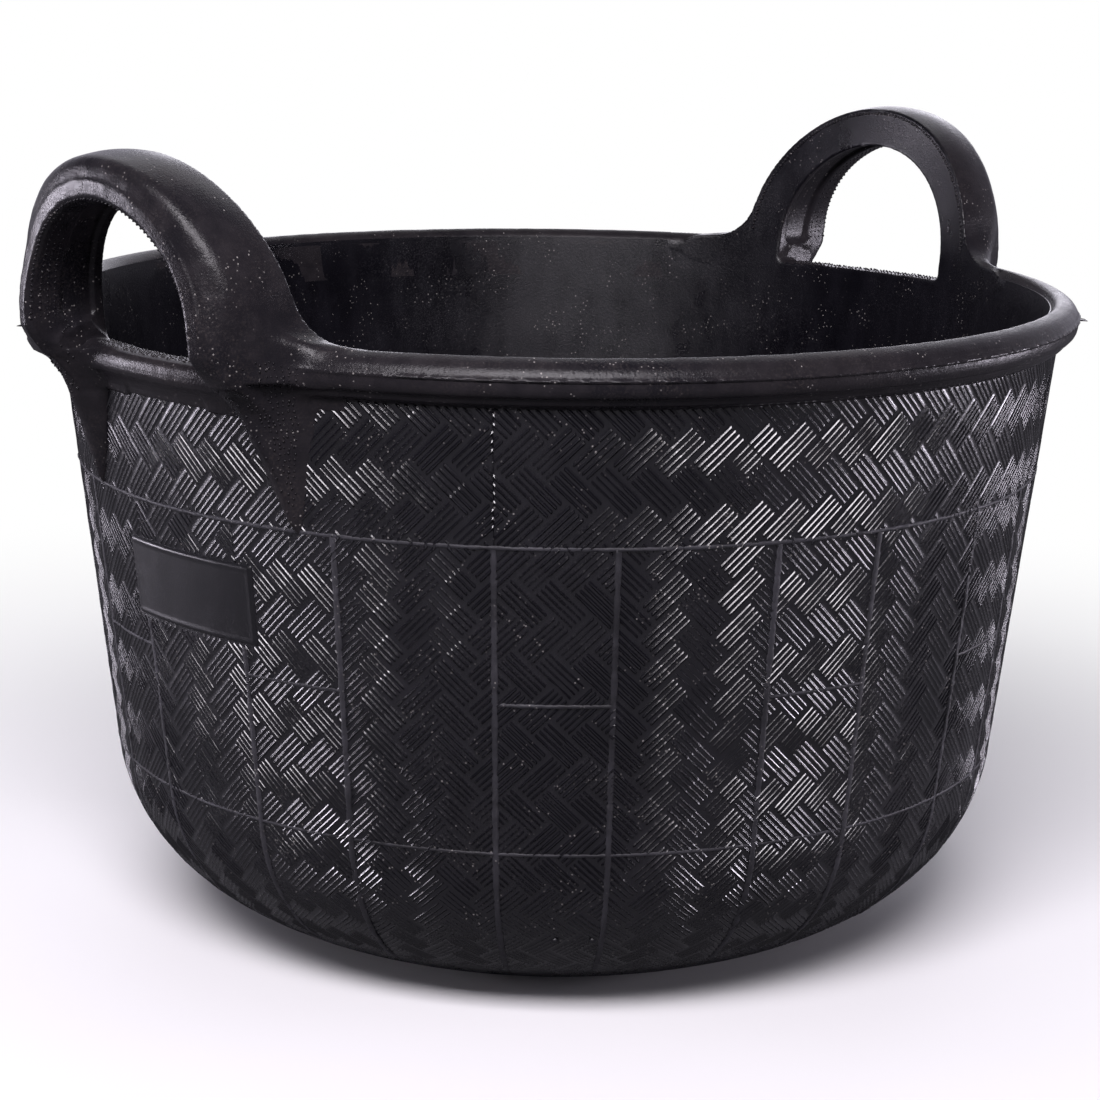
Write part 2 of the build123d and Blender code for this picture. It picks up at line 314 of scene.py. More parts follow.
V_MID, V_LOW = v_of_z(MID_Z), v_of_z(LOW_Z)
R_WEAVE = 150.0
v_bottom = float(np.interp(R_WEAVE, MER[:1000, 0], V[:1000]))
M_TOP = int(v_of_z(291.0) / (DU / 2))
M_BOT = int(round(v_bottom / (DU / 2)))
M_BOT -= M_BOT % 2
M_TOP -= M_TOP % 2
RIDGE = 0.6
PAD_HALF, PAD_Z = math.radians(10.8), (173.0, 210.5)


def weave(u, v):
    """Plait relief height (0..1) on the lattice points."""
    I = np.rint((u + v) / DU).astype(np.int64)
    J = np.rint((v - u) / DU).astype(np.int64)
    deg = np.degrees(u / R0) % 30.0
    deg = np.where(deg > 15, deg - 30, deg)
    wide = (np.abs(deg) <= WIDE_HALF) & (v < 0)
    # start each panel's plait at its own left edge
    period = np.floor((np.degrees(u / R0) + 15.0) / 30.0)
    left = np.where(np.abs(deg) <= WIDE_HALF, period * 30 - WIDE_HALF, period * 30 + np.where(deg > 0, WIDE_HALF, WIDE_HALF - 30))
    c = np.rint(np.radians(left) * R0 / DU).astype(np.int64)
    c = np.where(v >= 0, 0, c)
    number = np.rint(np.degrees(u / R0) / 30.0).astype(np.int64) % 12          # wide panels take turns
    gap = np.floor((np.degrees(u / R0) % 360) / 30.0).astype(np.int64)         # narrow panels
    swap = (gap % 2 == 0) & (gap != 6)
    I2 = I - c + np.where(wide, np.where(number % 2 == 0, 18, 0), 2)
    J2 = J + c + np.where(wide, 0, 2)
    I2 = np.where(wide | (v >= 0), I2, I2 + 18)                                # the plait restarts below the band line
    I2 = np.where(~wide & (v < 0) & swap, I2 + 18, I2)
    i, j = I2 // 9, J2 // 9
    s_row, s_col = (i + j) % 4, (i - j) % 4
    s = np.where(wide, s_col, s_row)
    fi, fj = I2 % 9, J2 % 9
    odd_i = (fi == 1) | (fi == 3) | (fi == 5) | (fi == 7)
    odd_j = (fj == 1) | (fj == 3) | (fj == 5) | (fj == 7)
    along_a = s <= 1
    start_b = np.where(wide, 3, 2)
    crest = np.where(along_a, odd_j & ~((fi == 0) & (s == 0)), odd_i & ~((fj == 0) & (s == start_b)))
    block = (i * 7349 + j * 9151 + np.where(along_a, 17, 5)) % 97 / 97.0
    return crest.astype(float) * (0.82 + 0.3 * block)


def lattice_sector(c0, c1):
    """Vertices and faces of the relief between columns c0 and c1."""
    rows, start = [], []
    total = 0
    for m in range(M_BOT, M_TOP + 1):
        n = c1 - c0 + (1 if m % 2 == 0 else 0)
        start.append(total)
        total += n
        k = np.arange(n) + (0.0 if m % 2 == 0 else 0.5)
        rows.append(np.stack([(c0 + k) * DU, np.full(n, m * DU / 2)], 1))
    uv = np.vstack(rows)
    nc = c1 - c0
    faces = []
    k = np.arange(nc)
    for q, m in enumerate(range(M_BOT, M_TOP + 1)):
        s0 = start[q]
        if m % 2 == 0:
            if m + 2 <= M_TOP:
                s1, s2 = start[q + 1], start[q + 2]
                kk = np.arange(1, nc)
                faces.append(np.stack([s0 + kk, s1 + kk, s2 + kk, s1 + kk - 1], 1))
                # half diamonds on the two side edges
                faces.append(np.array([[s0, s1, s2, s2]]))
                faces.append(np.array([[s0 + nc, s2 + nc, s1 + nc - 1, s1 + nc - 1]]))
            if m == M_BOT:
                s1 = start[q + 1]
                faces.append(np.stack([s0 + k, s0 + k + 1, s1 + k, s1 + k], 1))
            if m == M_TOP:
                s1 = start[q - 1]
                faces.append(np.stack([s0 + k, s1 + k, s0 + k + 1, s0 + k + 1], 1))
        elif m + 2 <= M_TOP:
            s1, s2 = start[q + 1], start[q + 2]
            faces.append(np.stack([s0 + k, s1 + k + 1, s2 + k, s1 + k], 1))
    faces = np.vstack(faces)
    # boundary, counter-clockwise in (u, v)
    bottom = start[0] + np.arange(nc + 1)
    top = start[-1] + np.arange(nc + 1)
    even = [start[q] for q, m in enumerate(range(M_BOT, M_TOP + 1)) if m % 2 == 0]
    left, right = np.array(even), np.array(even) + nc
    loop = np.concatenate([bottom[:-1], right[:-1], top[::-1][:-1], left[::-1][:-1]])
    return uv, faces, loop


def wall_sector(name, c0, c1):
    uv, quads, loop = lattice_sector(c0, c1)
    u, v = uv[:, 0], uv[:, 1]
    w = weave(u, v)
    z = np.interp(v, V, MER[:, 1])
    r = np.interp(v, V, MER[:, 0])
    fade = sst((r - 152) / 40.0) * sst((290.0 - z) / 2.0)
    ang = (u / R0 + math.pi) % (2 * math.pi) - math.pi
    in_pad = (np.abs(np.abs(ang) - math.pi) < PAD_HALF) & (z > PAD_Z[0]) & (z < PAD_Z[1])
    base = surf(u, v, 0)
    # wear noise on the ridge height; through the crest attribute it also varies the painted highlight on the crests
    wear_and_crest_highlight = 0.86 + 0.22 * value_noise(base, 34.0, 3) + 0.08 * value_noise(base, 6.0, 4)
    h = w * fade * np.clip(wear_and_crest_highlight, 0.35, 1.15)
    h[in_pad] = 0
    wave = 0.10 * value_noise(base, 45.0, 9)
    P = surf(u, v, 0) + (surf(u, v, 1.0) - surf(u, v, 0)) * (RIDGE * h + wave)[:, None]
    P[loop] = surf(u[loop], v[loop], 0)
    # coarse back face 2.6 mm behind, joined along the same boundary
    nb = len(loop)
    gu = np.arange(u.min() + 9, u.max() - 8, 12.0)
    gv = np.arange(v.min() + 9, v.max() - 8, 12.0)
    GU, GV = np.meshgrid(gu, gv)
    pts = np.concatenate([uv[loop], np.stack([GU.ravel(), GV.ravel()], 1)])
    edges = [(i, (i + 1) % nb) for i in range(nb)]
    cv, _, cf, *_ = delaunay_2d_cdt([Vector(p) for p in pts], edges, [], 1, 1e-6)
    cv = np.array([tuple(p) for p in cv])
    back = surf(cv[:, 0], cv[:, 1], -2.6)
    nv = len(P)
    verts = np.vstack([P, back])
    faces = [tuple(f[:3]) if f[2] == f[3] else tuple(f) for f in quads.tolist()]
    # boundary vertices keep their order in the triangulation
    if np.abs(cv[:nb] - uv[loop]).max() < 1e-3:
        faces += [tuple(nv + i for i in f[::-1]) for f in cf]
        lp = loop.tolist()
        faces += [(lp[i], nv + i, nv + (i + 1) % nb, lp[(i + 1) % nb]) for i in range(nb)]
    ob = make_mesh(name, verts, faces, attrs={"crest": np.concatenate([np.clip(h, 0, 1), np.zeros(len(back))])})
    ob.data.materials.append(MAT_WALL)
    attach(ob, "tub")
    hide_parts("tub_shell")
    return ob


cuts = [int(round(np.radians(a) * R0 / DU)) for a in (38.65, 128.65, 218.65, 308.65, 398.65)]
for nm, a, b in zip(("wall_rear", "wall_left", "wall_front", "wall_right"), cuts[:-1], cuts[1:]):
    wall_sector(nm, a, b)


# ------------------------------------------------------------------ swept and turned bodies
def turned(name, profile, segs, arc=None, mat=None, noise_mm=None, nodes=("tub_shell",), sharp=None):
    """Revolve a closed (r, z) profile, given counter-clockwise, about Z. arc=(a0, a1) in radians for a part turn."""
    prof = np.asarray(profile, float)
    n = len(prof)
    full = arc is None
    ang = np.linspace(0, 2 * math.pi, segs, endpoint=False) if full else np.linspace(arc[0], arc[1], segs)
    A, K = np.meshgrid(ang, np.arange(n), indexing="ij")
    rr, zz = prof[K, 0], prof[K, 1]
    P = np.stack([rr * np.cos(A), rr * np.sin(A), zz], -1).reshape(-1, 3)
    if noise_mm is not None:
        P = noise_mm(P, prof, A.ravel(), K.ravel())
    faces = []
    m = len(ang)
    for s in range(m if full else m - 1):
        t = (s + 1) % m
        for k in range(n):
            l = (k + 1) % n
            faces.append((s * n + k, t * n + k, t * n + l, s * n + l))
    if not full:
        faces.append(tuple(range(n - 1, -1, -1)))
        faces.append(tuple((m - 1) * n + k for k in range(n)))
    ob = make_mesh(name, P, faces, sharp=sharp)
    ob.data.materials.append(mat)
    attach(ob, "tub")
    if nodes:
        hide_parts(*nodes)
    return ob


# inside of the bowl, up to the rim crest, and only to the sill between the handle feet
TOP_IN = 305.6
inner_line = np.stack([inner_r(np.linspace(88.5, TOP_IN, 66)), np.linspace(88.5, TOP_IN, 66)], 1)
inner_corner = bezier((98, 8), (161, 8), (205.4, 44), (210.7, 88.5), 60)
floor_line = np.stack([np.linspace(0.4, 98, 24), np.full(24, 8.0)], 1)
inner_prof = np.vstack([floor_line[:-1], inner_corner[:-1], inner_line])
tn = np.gradient(inner_prof, axis=0)
tn /= np.linalg.norm(tn, axis=1)[:, None]
back_prof = inner_prof + np.stack([tn[:, 1], -tn[:, 0]], 1) * 1.6
back_prof[:, 0] = np.maximum(back_prof[:, 0], 0.4)


def inner_noise(P, prof, A, K):
    r = np.hypot(P[:, 0], P[:, 1])
    from_axis = np.minimum(np.abs(A % math.pi), math.pi - np.abs(A % math.pi))
    top = 293.6 + (TOP_IN - 293.6) * sst((from_axis - math.radians(RIM_CUT) + 0.012) / 0.01)
    z = P[:, 2]
    k = np.where(z > 270, 270 + (z - 270) * (top - 270) / (TOP_IN - 270), z)
    f = sst((270 - z) / 25.0) * sst(r / 30.0)
    d = (0.35 * value_noise(P, 55.0, 21) + 0.12 * value_noise(P, 14.0, 22)) * f
    d += (k - z) * SLOPE + 0.05 * sst((k - top + 1.5) / 1.5)
    P[:, 0] *= 1 + d / np.maximum(r, 20)
    P[:, 1] *= 1 + d / np.maximum(r, 20)
    P[:, 2] = k
    return P


turned("tub_inner_skin", np.vstack([inner_prof[::-1], back_prof[1:]]), 360, mat=MAT_IN, noise_mm=inner_noise, sharp=50)

# underside: flat resting patch with two shallow rings
under = []
for r in np.linspace(0.4, R_WEAVE + 0.6, 90):
    z = float(np.interp(r, MER[:1100, 0], MER[:1100, 1])) if r > 98 else 0.0
    ring = 0.8 * math.exp(-((r - 60) / 2.2) ** 2) + 0.8 * math.exp(-((r - 25) / 2.2) ** 2)
    under.append((r, z + (0.9 * sst((84 - r) / 6.0) - ring if r < 90 else 0.0)))
under = np.array(under)
turned("tub_underside", np.vstack([under, under[::-1] + [0, 3.0]]), 240, mat=MAT_PAD)

# ------------------------------------------------------------------ rim section
RIM = np.vstack([
    [(inner_r(284) + 0.03, 284), (inner_r(300) + 0.03, 300)],
    bezier((inner_r(303.1) + 0.03, 303.1), (inner_r(307.3), 307.3), (239.6, 309.4), (241.3, 309.5), 7),
    bezier((241.8, 309.35), (245.4, 308.2), (248.6, 305.9), (249.5, 302.2), 9),
    [(250.0, 301.9), (250.35, 301.2), (250.0, 300.5), (249.5, 300.2)],
    bezier((249.5, 299.6), (249.5, 296.2), (248.4, 293.9), (246.2, 293.2), 6),
    [(245.6, 293.3), (245.2, 292.6)],
    bezier((245.0, 292.0), (244.6, 290.6), (243.6, 289.8), (242.0, 289.3), 4),
    [(240.6, 289.0), (wall_r(287.5) - 0.2, 287.5), (wall_r(284) - 0.6, 284)],
])


def rim_noise(P, prof, A, K):
    r = np.hypot(P[:, 0], P[:, 1])
    z = P[:, 2]
    flash = np.exp(-((z - 301.2) / 0.9) ** 2) * (r > 249)
    crest = np.exp(-((z - 309.4) / 0.6) ** 2) * (r > 240)
    end = sst((np.minimum(np.abs(A - A.min()), np.abs(A - A.max()))) / 0.02)
    d = (0.45 * value_noise(P, 2.2, 31) * flash + 0.12 * value_noise(P, 5.0, 32) * crest + 0.1 * value_noise(P, 18.0, 33)) * end
    P[:, 0] *= 1 + d / r
    P[:, 1] *= 1 + d / r
    P[:, 2] += 0.12 * value_noise(P, 7.0, 34) * crest * end
    return P


def closed_cw(p):
    a = np.sum(p[:, 0] * np.roll(p[:, 1], -1) - np.roll(p[:, 0], -1) * p[:, 1])
    return p[::-1] if a > 0 else p


cut = math.radians(RIM_CUT)
for nm, a0 in (("rim_rear", cut), ("rim_front", cut + math.pi)):
    turned(nm, closed_cw(RIM)[::-1], 700, arc=(a0 - 0.002, a0 + math.pi - 2 * cut + 0.002), mat=MAT_RIM, noise_mm=rim_noise, nodes=("rim_bead",), sharp=50)


# ------------------------------------------------------------------ handle, roots and rim dip as one moulded form
def poly_sdf(p, q, poly):
    """Signed distance of points (p, q) to a closed polygon, negative inside."""
    a = poly
    b = np.roll(poly, -1, axis=0)
    d2 = np.full(p.shape, 1e12)
    inside = np.zeros(p.shape, bool)
    for (ax, ay), (bx, by) in zip(a, b):
        ex, ey = bx - ax, by - ay
        wx, wy = p - ax, q - ay
        t = np.clip((wx * ex + wy * ey) / (ex * ex + ey * ey + 1e-12), 0, 1)
        dx, dy = wx - ex * t, wy - ey * t
        d2 = np.minimum(d2, dx * dx + dy * dy)
        cond = (ay > q) != (by > q)
        if ay != by:
            xi = (bx - ax) * (q - ay) / (by - ay) + ax
            inside ^= cond & (p < xi)
    d = np.sqrt(d2)
    return np.where(inside, -d, d)


def smin(a, b, k):
    h = np.clip(0.5 + 0.5 * (b - a) / k, 0, 1)
    return b * (1 - h) + a * h - k * h * (1 - h)


def smax(a, b, k):
    return -smin(-a, -b, k)


SECTION = np.vstack([
    [(0.3, 0.6), (0.9, 0.0), (16.6, 0.0)],
    bezier((17.3, 0.5), (20.0, 5.5), (20.3, 14.5), (18.7, 20.5), 10),
    bezier((18.4, 21.5), (17.0, 27.0), (13.4, 31.3), (9.2, 32.2), 10),
    [(8.6, 32.9), (2.6, 33.1), (1.2, 32.2), (0.3, 30.6), (0.0, 19.6), (0.8, 18.4), (2.6, 17.6), (3.0, 6.0), (2.4, 4.4), (0.5, 3.8)],
])
FOOT_FILLET = 27.0


ZFIN = np.array([226, 229, 232, 240, 250.4, 257.7, 267, 276.4, 281, 289, 295.4, 301, 306, 316])
RFIN = np.array([232.0, 233.7, 236.0, 238.6, 242.0, 244.8, 249.0, 253.0, 255.4, 261.4, 268.0, 273.2, 276.0, 276.6])


def bow_field(x, y, z):
    ay = np.abs(y)
    r = np.hypot(x, y)
    ri = inner_r(z)
    d = (r - ri)
    rho = np.where(z >= ARCH_Z, np.hypot(y, z - ARCH_Z), ay)
    outer = np.where(z < 312, np.interp(z, ZFIN, RFIN), 275.0 + 1.6 * sst((350 - z) / 38.0))
    depth = outer - ri
    f = poly_sdf(rho - R_IN, d * 33.0 / depth, SECTION)
    return np.maximum(f + 7.0 * sst((304.0 - z) / 13.0), 291.0 - z)


ZI = np.array([226, 229.9, 238, 252, 264, 275, 280.6, 284, 288.9, 293.9, 300])
SI = np.array([69.0, 68.2, 64.0, 58.0, 54.0, 50.0, 45.5, 42.0, 37.0, 33.5, 32.0])
ZO = np.array([226, 229.4, 243, 260.8, 278.3, 293.5, 305])
SO = np.array([70.8, 72.2, 75.5, 79.5, 85.0, 91.0, 95])


def root_field(x, y, z):
    r = np.hypot(x, y)
    q = np.abs(np.arctan2(y, x)) * r
    si, so = np.interp(z, ZI, SI), np.interp(z, ZO, SO)
    ht = np.interp(z, ZFIN, RFIN) - wall_r(z)
    sc = np.interp(z, [226, 230, 245, 255, 268, 280, 300], [69.9, 69.9, 69.8, 69.0, 66.5, 65.0, 64.2])
    p_in = np.interp(z, [255, 272, 282, 290, 296], [0.8, 0.95, 1.5, 2.3, 2.8])
    p_out = np.interp(z, [235, 262, 280, 296], [1.0, 1.25, 1.4, 1.5])
    ti = np.clip((q - si) / (sc - si), 0, 1)
    to = np.clip((so - q) / (so - sc), 0, 1)
    ridge = np.sin(0.5 * math.pi * ti) ** p_in * to ** p_out
    leg = sst((q - 54.0) / 4.5) * sst((76.0 - q) / 5.0)
    shape = ridge + sst((z - 272.0) / 25.0) * np.maximum(leg - ridge, 0)
    on = sst((q - si + 0.8) / 1.6) * sst((so + 0.8 - q) / 1.6)
    f = (r - wall_r(z) + 1.3 - on * 1.6 - np.maximum(ht - 0.3, 0) * shape) * np.interp(z, [230, 280, 300], [0.7, 0.5, 0.35])
    f = np.maximum(f, wall_r(z) - 2.6 - r)
    f = np.maximum(f + 5.0 * sst((z - 297.0) / 9.0), z - np.where(q < 54.0, 295.0, 306.0))
    f = np.maximum(f, 227.5 - z)
    return np.maximum(f, np.maximum(q - 98.0, 30.0 - q))


SILLP = np.array([(inner_r(280), 280), (inner_r(296.2), 296.2), (inner_r(297) + 0.8, 297.0), (244.2, 297.0), (246.6, 296.2), (247.7, 294.4),
                  (248.0, 291.5), (247.7, 288.6), (246.4, 286.6), (244.0, 284.9), (241.8, 283.0), (240.2, 280.4), (239.0, 277.2), (236.2, 276.6)])


def rim_field(x, y, z):
    ay = np.abs(y)
    r = np.hypot(x, y)
    w = sst((ay - 50.0) / 12.0)
    f = poly_sdf(r, z, RIM)
    g = poly_sdf(r, z, SILLP)
    return g * (1 - w) + f * w


ARC_OUT = R_IN + 18.6
TOP_Z = H - 0.6
RAMP_C = math.sqrt((ARC_OUT + FOOT_FILLET) ** 2 - (FOOT_FILLET - 0.1) ** 2)


def ramp_field(x, y, z):
    ay = np.abs(y)
    r = np.hypot(x, y)
    ri = inner_r(z)
    zc = TOP_Z + FOOT_FILLET
    rho = np.hypot(ay, z - ARCH_Z)
    above = (z - ARCH_Z) * RAMP_C > (zc - ARCH_Z) * ay           # past the tangent direction: only the bow itself
    yz = np.where(above, rho - ARC_OUT, np.where(ay > RAMP_C, z - TOP_Z, FOOT_FILLET - np.hypot(ay - RAMP_C, z - zc)))
    yz = np.where(z < TOP_Z, np.where(ay > RAMP_C, z - TOP_Z, np.minimum(yz, -1.0)), yz)
    hole = np.where(z > ARCH_Z, R_IN + 5.0 - rho, R_IN + 5.0 - ay)
    yz = np.maximum(yz, hole)
    t = np.clip((ay - 70.0) / 38.0, 0, 1)
    thick = 5.6 + 24.5 * (1 - t) ** 2.0
    f = smax(yz, r - ri - thick, 6.0)
    f = np.maximum(f, 296.0 - z)
    return f + 4.0 * sst((ay - 102.0) / 12.0)


def handle_field(P):
    x, y, z = P[:, 0], P[:, 1], P[:, 2]
    ay = np.abs(y)
    r = np.hypot(x, y)
    f = smin(bow_field(x, y, z), root_field(x, y, z), 6.0)
    k = 7.0 * sst((112.0 - ay) / 20.0) + 0.05
    f = smin(f, ramp_field(x, y, z), k)
    f = smin(f, rim_field(x, y, z), 0.6 * k)
    f = smax(f, inner_r(z) + 0.03 * sst((294.0 - z) / 2.0) - r, 0.3)
    az = np.abs(np.arctan2(y, x))
    f = f + 0.03 * sst((az - cut + 0.014) / 0.012)
    return np.maximum(f, (az - cut - 0.012) * r)


def surface_nets(field, lo, hi, step):
    nx, ny, nz = (int(math.ceil((b - a) / step)) + 1 for a, b in zip(lo, hi))
    gx = lo[0] + step * np.arange(nx)
    gy = lo[1] + step * np.arange(ny)
    gz = lo[2] + step * np.arange(nz)
    F = np.empty((nx, ny, nz))
    YY, ZZ = np.meshgrid(gy, gz, indexing="ij")
    for i in range(nx):
        F[i] = field(np.stack([np.full(YY.size, gx[i]), YY.ravel(), ZZ.ravel()], 1)).reshape(ny, nz)
    S = F < 0
    cnt = np.zeros((nx - 1, ny - 1, nz - 1))
    acc = np.zeros((nx - 1, ny - 1, nz - 1, 3))
    for ax in range(3):
        sl0 = [slice(None)] * 3
        sl1 = [slice(None)] * 3
        sl0[ax], sl1[ax] = slice(0, -1), slice(1, None)
        f0, f1 = F[tuple(sl0)], F[tuple(sl1)]
        cross = (f0 < 0) != (f1 < 0)
        t = np.where(cross, f0 / np.where(cross, f0 - f1, 1), 0)
        o1, o2 = [a for a in range(3) if a != ax]
        for d1 in (0, 1):
            for d2 in (0, 1):
                s = [slice(None)] * 3
                s[o1] = slice(d1, cross.shape[o1] - 1 + d1)
                s[o2] = slice(d2, cross.shape[o2] - 1 + d2)
                c, tt = cross[tuple(s)], t[tuple(s)]
                cnt += c
                acc[..., ax] += np.where(c, tt, 0)
                acc[..., o1] += np.where(c, d1, 0)
                acc[..., o2] += np.where(c, d2, 0)
    used = cnt > 0
    idx = -np.ones(used.shape, np.int64)
    idx[used] = np.arange(used.sum())
    cells = np.argwhere(used)
    verts = (cells + acc[used] / cnt[used][:, None]) * step + np.array(lo)
    quads = []
    for ax in range(3):
        o1, o2 = [(1, 2), (2, 0), (0, 1)][ax]
        sl0 = [slice(None)] * 3
        sl1 = [slice(None)] * 3
        sl0[ax], sl1[ax] = slice(0, -1), slice(1, None)
        s0, s1 = S[tuple(sl0)], S[tuple(sl1)]
        e = np.argwhere(s0 != s1)
        e = e[(e[:, o1] > 0) & (e[:, o2] > 0) & (e[:, o1] < S.shape[o1] - 1) & (e[:, o2] < S.shape[o2] - 1)]
        inside_first = s0[tuple(e.T)]
        a = e.copy(); b = e.copy(); c = e.copy(); d = e.copy()
        a[:, o1] -= 1; a[:, o2] -= 1
        b[:, o2] -= 1
        d[:, o1] -= 1
        q = np.stack([idx[tuple(w.T)] for w in (a, b, c, d)], 1)
        q[~inside_first] = q[~inside_first][:, ::-1]
        quads.append(q)
    quads = np.vstack(quads)
    for _ in range(3):
        f = field(verts)
        g = np.stack([(field(verts + o) - field(verts - o)) / 0.1 for o in np.eye(3) * 0.05], 1)
        n2 = np.maximum((g * g).sum(1), 0.2)
        mv = -(f / n2)[:, None] * g
        ln = np.linalg.norm(mv, axis=1)
        mv *= np.minimum(1, 0.4 * step / np.maximum(ln, 1e-9))[:, None]
        verts = verts + mv
    return verts, quads


STEP = 1.05
hv, hq = surface_nets(handle_field, (196.0, -126.0, 225.0), (283.0, 126.0, 388.0), STEP)


def handle_noise(P):
    r = np.hypot(P[:, 0], P[:, 1])
    edge = sst((cut - 0.014 - np.abs(np.arctan2(P[:, 1], P[:, 0]))) / 0.03)
    n = 0.14 * value_noise(P, 9.0, 41) + 0.10 * value_noise(P, 3.4, 42)
    out = P.copy()
    free = edge * sst((r - inner_r(P[:, 2]) - 0.5) / 2.0)
    out[:, 0] += P[:, 0] / r * n * free
    out[:, 1] += P[:, 1] / r * n * free
    # moulding flash along the top inner corner of the bow
    rho = np.hypot(P[:, 1], P[:, 2] - ARCH_Z)
    fl = np.exp(-((rho - R_IN - 17.6) / 1.1) ** 2) * np.exp(-((r - inner_r(P[:, 2]) - 0.8) / 1.2) ** 2) * (P[:, 2] > ARCH_Z)
    amp = fl * (0.45 + 0.9 * value_noise(P, 2.4, 43)) * edge
    out[:, 1] += P[:, 1] / np.maximum(rho, 1) * amp
    out[:, 2] += (P[:, 2] - ARCH_Z) / np.maximum(rho, 1) * amp
    return out


hv = handle_noise(hv)
for side, nm in ((1, "right"), (-1, "left")):
    P = hv * np.array([side, side, 1.0])
    ob = make_mesh(nm + "_handle_skin", P, hq.tolist(), sharp=60)
    ob.data.materials.append(MAT_RIM)
    ob.data.materials.append(MAT_IN)
    mid = P[hq].mean(1)
    flush = (np.hypot(mid[:, 0], mid[:, 1]) - inner_r(mid[:, 2]) < 0.5).astype(np.int32)
    if len(flush) == len(ob.data.polygons):
        ob.data.polygons.foreach_set("material_index", flush)
    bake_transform(ob)
    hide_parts(nm + "_handle_bow", nm + "_front_root", nm + "_rear_root", "rim_bead")

# mould pips on the grip, the sill and the roots, and two flash tabs
def on_surface(p):
    p = np.array(p, float)
    for _ in range(6):
        f = handle_field(p)
        g = np.stack([(handle_field(p + o) - handle_field(p - o)) / 0.1 for o in np.eye(3) * 0.05], 1)
        p = p - (f / np.maximum((g * g).sum(1), 0.2))[:, None] * g
    n = g / np.maximum(np.linalg.norm(g, axis=1), 1e-6)[:, None]
    ok = np.abs(handle_field(p)) < 0.15
    return p[ok], n[ok], ok


def domes(points, normals, radii):
    """Small closed rounded pips, half sunk in the surface."""
    m = len(points)
    t1 = np.cross(normals, [0.31, 0.59, 0.74])
    t1 /= np.linalg.norm(t1, axis=1)[:, None]
    t2 = np.cross(normals, t1)
    rings = [(1.0, -0.55), (1.0, 0.1), (0.62, 0.72)]
    cols = []
    for f, h in rings:
        for q in range(6):
            a_ = q * math.pi / 3
            cols.append(points + (t1 * math.cos(a_) + t2 * math.sin(a_)) * (radii * f)[:, None] + normals * (radii * h)[:, None])
    cols.append(points + normals * (radii * 0.95)[:, None])
    verts = np.stack(cols, 1).reshape(-1, 3)
    one = []
    for k in range(2):
        for q in range(6):
            l = (q + 1) % 6
            one.append((k * 6 + q, k * 6 + l, k * 6 + 6 + l, k * 6 + 6 + q))
    one += [(12 + q, 12 + (q + 1) % 6, 18) for q in range(6)]
    one.append((5, 4, 3, 2, 1, 0))
    faces = [tuple(v + 19 * c for v in f) for c in range(m) for f in one]
    return verts, faces


cand, rad = [], []
for d_, r_, gap_ in ((31.2, 0.62, 2.5), (27.6, 0.5, 2.9), (24.6, 0.5, 2.9), (21.6, 0.5, 2.9)):
    for th in np.arange(0.0, math.pi, gap_ / (R_IN + 0.3)):
        rho = R_IN + (1.6 if d_ > 30 else 0.2)
        y, z = rho * math.cos(th), ARCH_Z + rho * math.sin(th)
        rr = inner_r(z) + d_ * (275.8 - inner_r(z)) / 33.0
        cand.append((math.sqrt(max(rr * rr - y * y, 1)), y, z))
        rad.append(r_ * (0.8 + 0.4 * RNG.random()))
for th in np.arange(0.08, math.pi - 0.08, 2.1 / (R_IN + 17.2)):
    rho = R_IN + 17.3
    y, z = rho * math.cos(th), ARCH_Z + rho * math.sin(th)
    rr = inner_r(z) + 0.9 + 0.8 * RNG.random()
    cand.append((math.sqrt(max(rr * rr - y * y, 1)), y, z))
    rad.append(0.62 + 0.4 * RNG.random())
for sg in (-1, 1):
    for z in np.arange(236, 304, 2.5):
        s0 = float(np.interp(z, [230, 245, 255, 268, 280, 304], [69.5, 69.5, 68.5, 66.5, 60.0, 55.0]))
        s1 = float(np.interp(z, ZO, SO)) - 2.5
        for q in np.arange(s0 + (0.0 if int(z * 2) % 2 else 1.2), s1, 2.6):
            zz, qq = z + 1.3 * (RNG.random() - 0.5), q + 1.3 * (RNG.random() - 0.5)
            rr = float(np.interp(zz, ZFIN, RFIN)) * 0.5 + wall_r(zz) * 0.5
            cand.append((rr * math.cos(qq / rr), sg * rr * math.sin(qq / rr), zz))
            rad.append(0.42 + 0.22 * RNG.random())
for y in np.arange(-49, 49.5, 2.3):
    for rr in (236.8, 239.2, 241.6, 243.6):
        rr2, y2 = rr + RNG.random() - 0.5, y + RNG.random() - 0.5
        cand.append((math.sqrt(rr2 * rr2 - y2 * y2), y2, 297.0))
        rad.append(0.4 + 0.3 * RNG.random())
pp, pn, keep = on_surface(cand)
pv_, pf_ = domes(pp, pn, np.array(rad)[keep])
for side, nm in ((1, "right"), (-1, "left")):
    ob = make_mesh(nm + "_handle_pips", pv_ * np.array([side, side, 1.0]), pf_)
    ob.data.materials.append(MAT_RIM)
    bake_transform(ob)

tab_v, tab_f = [], []


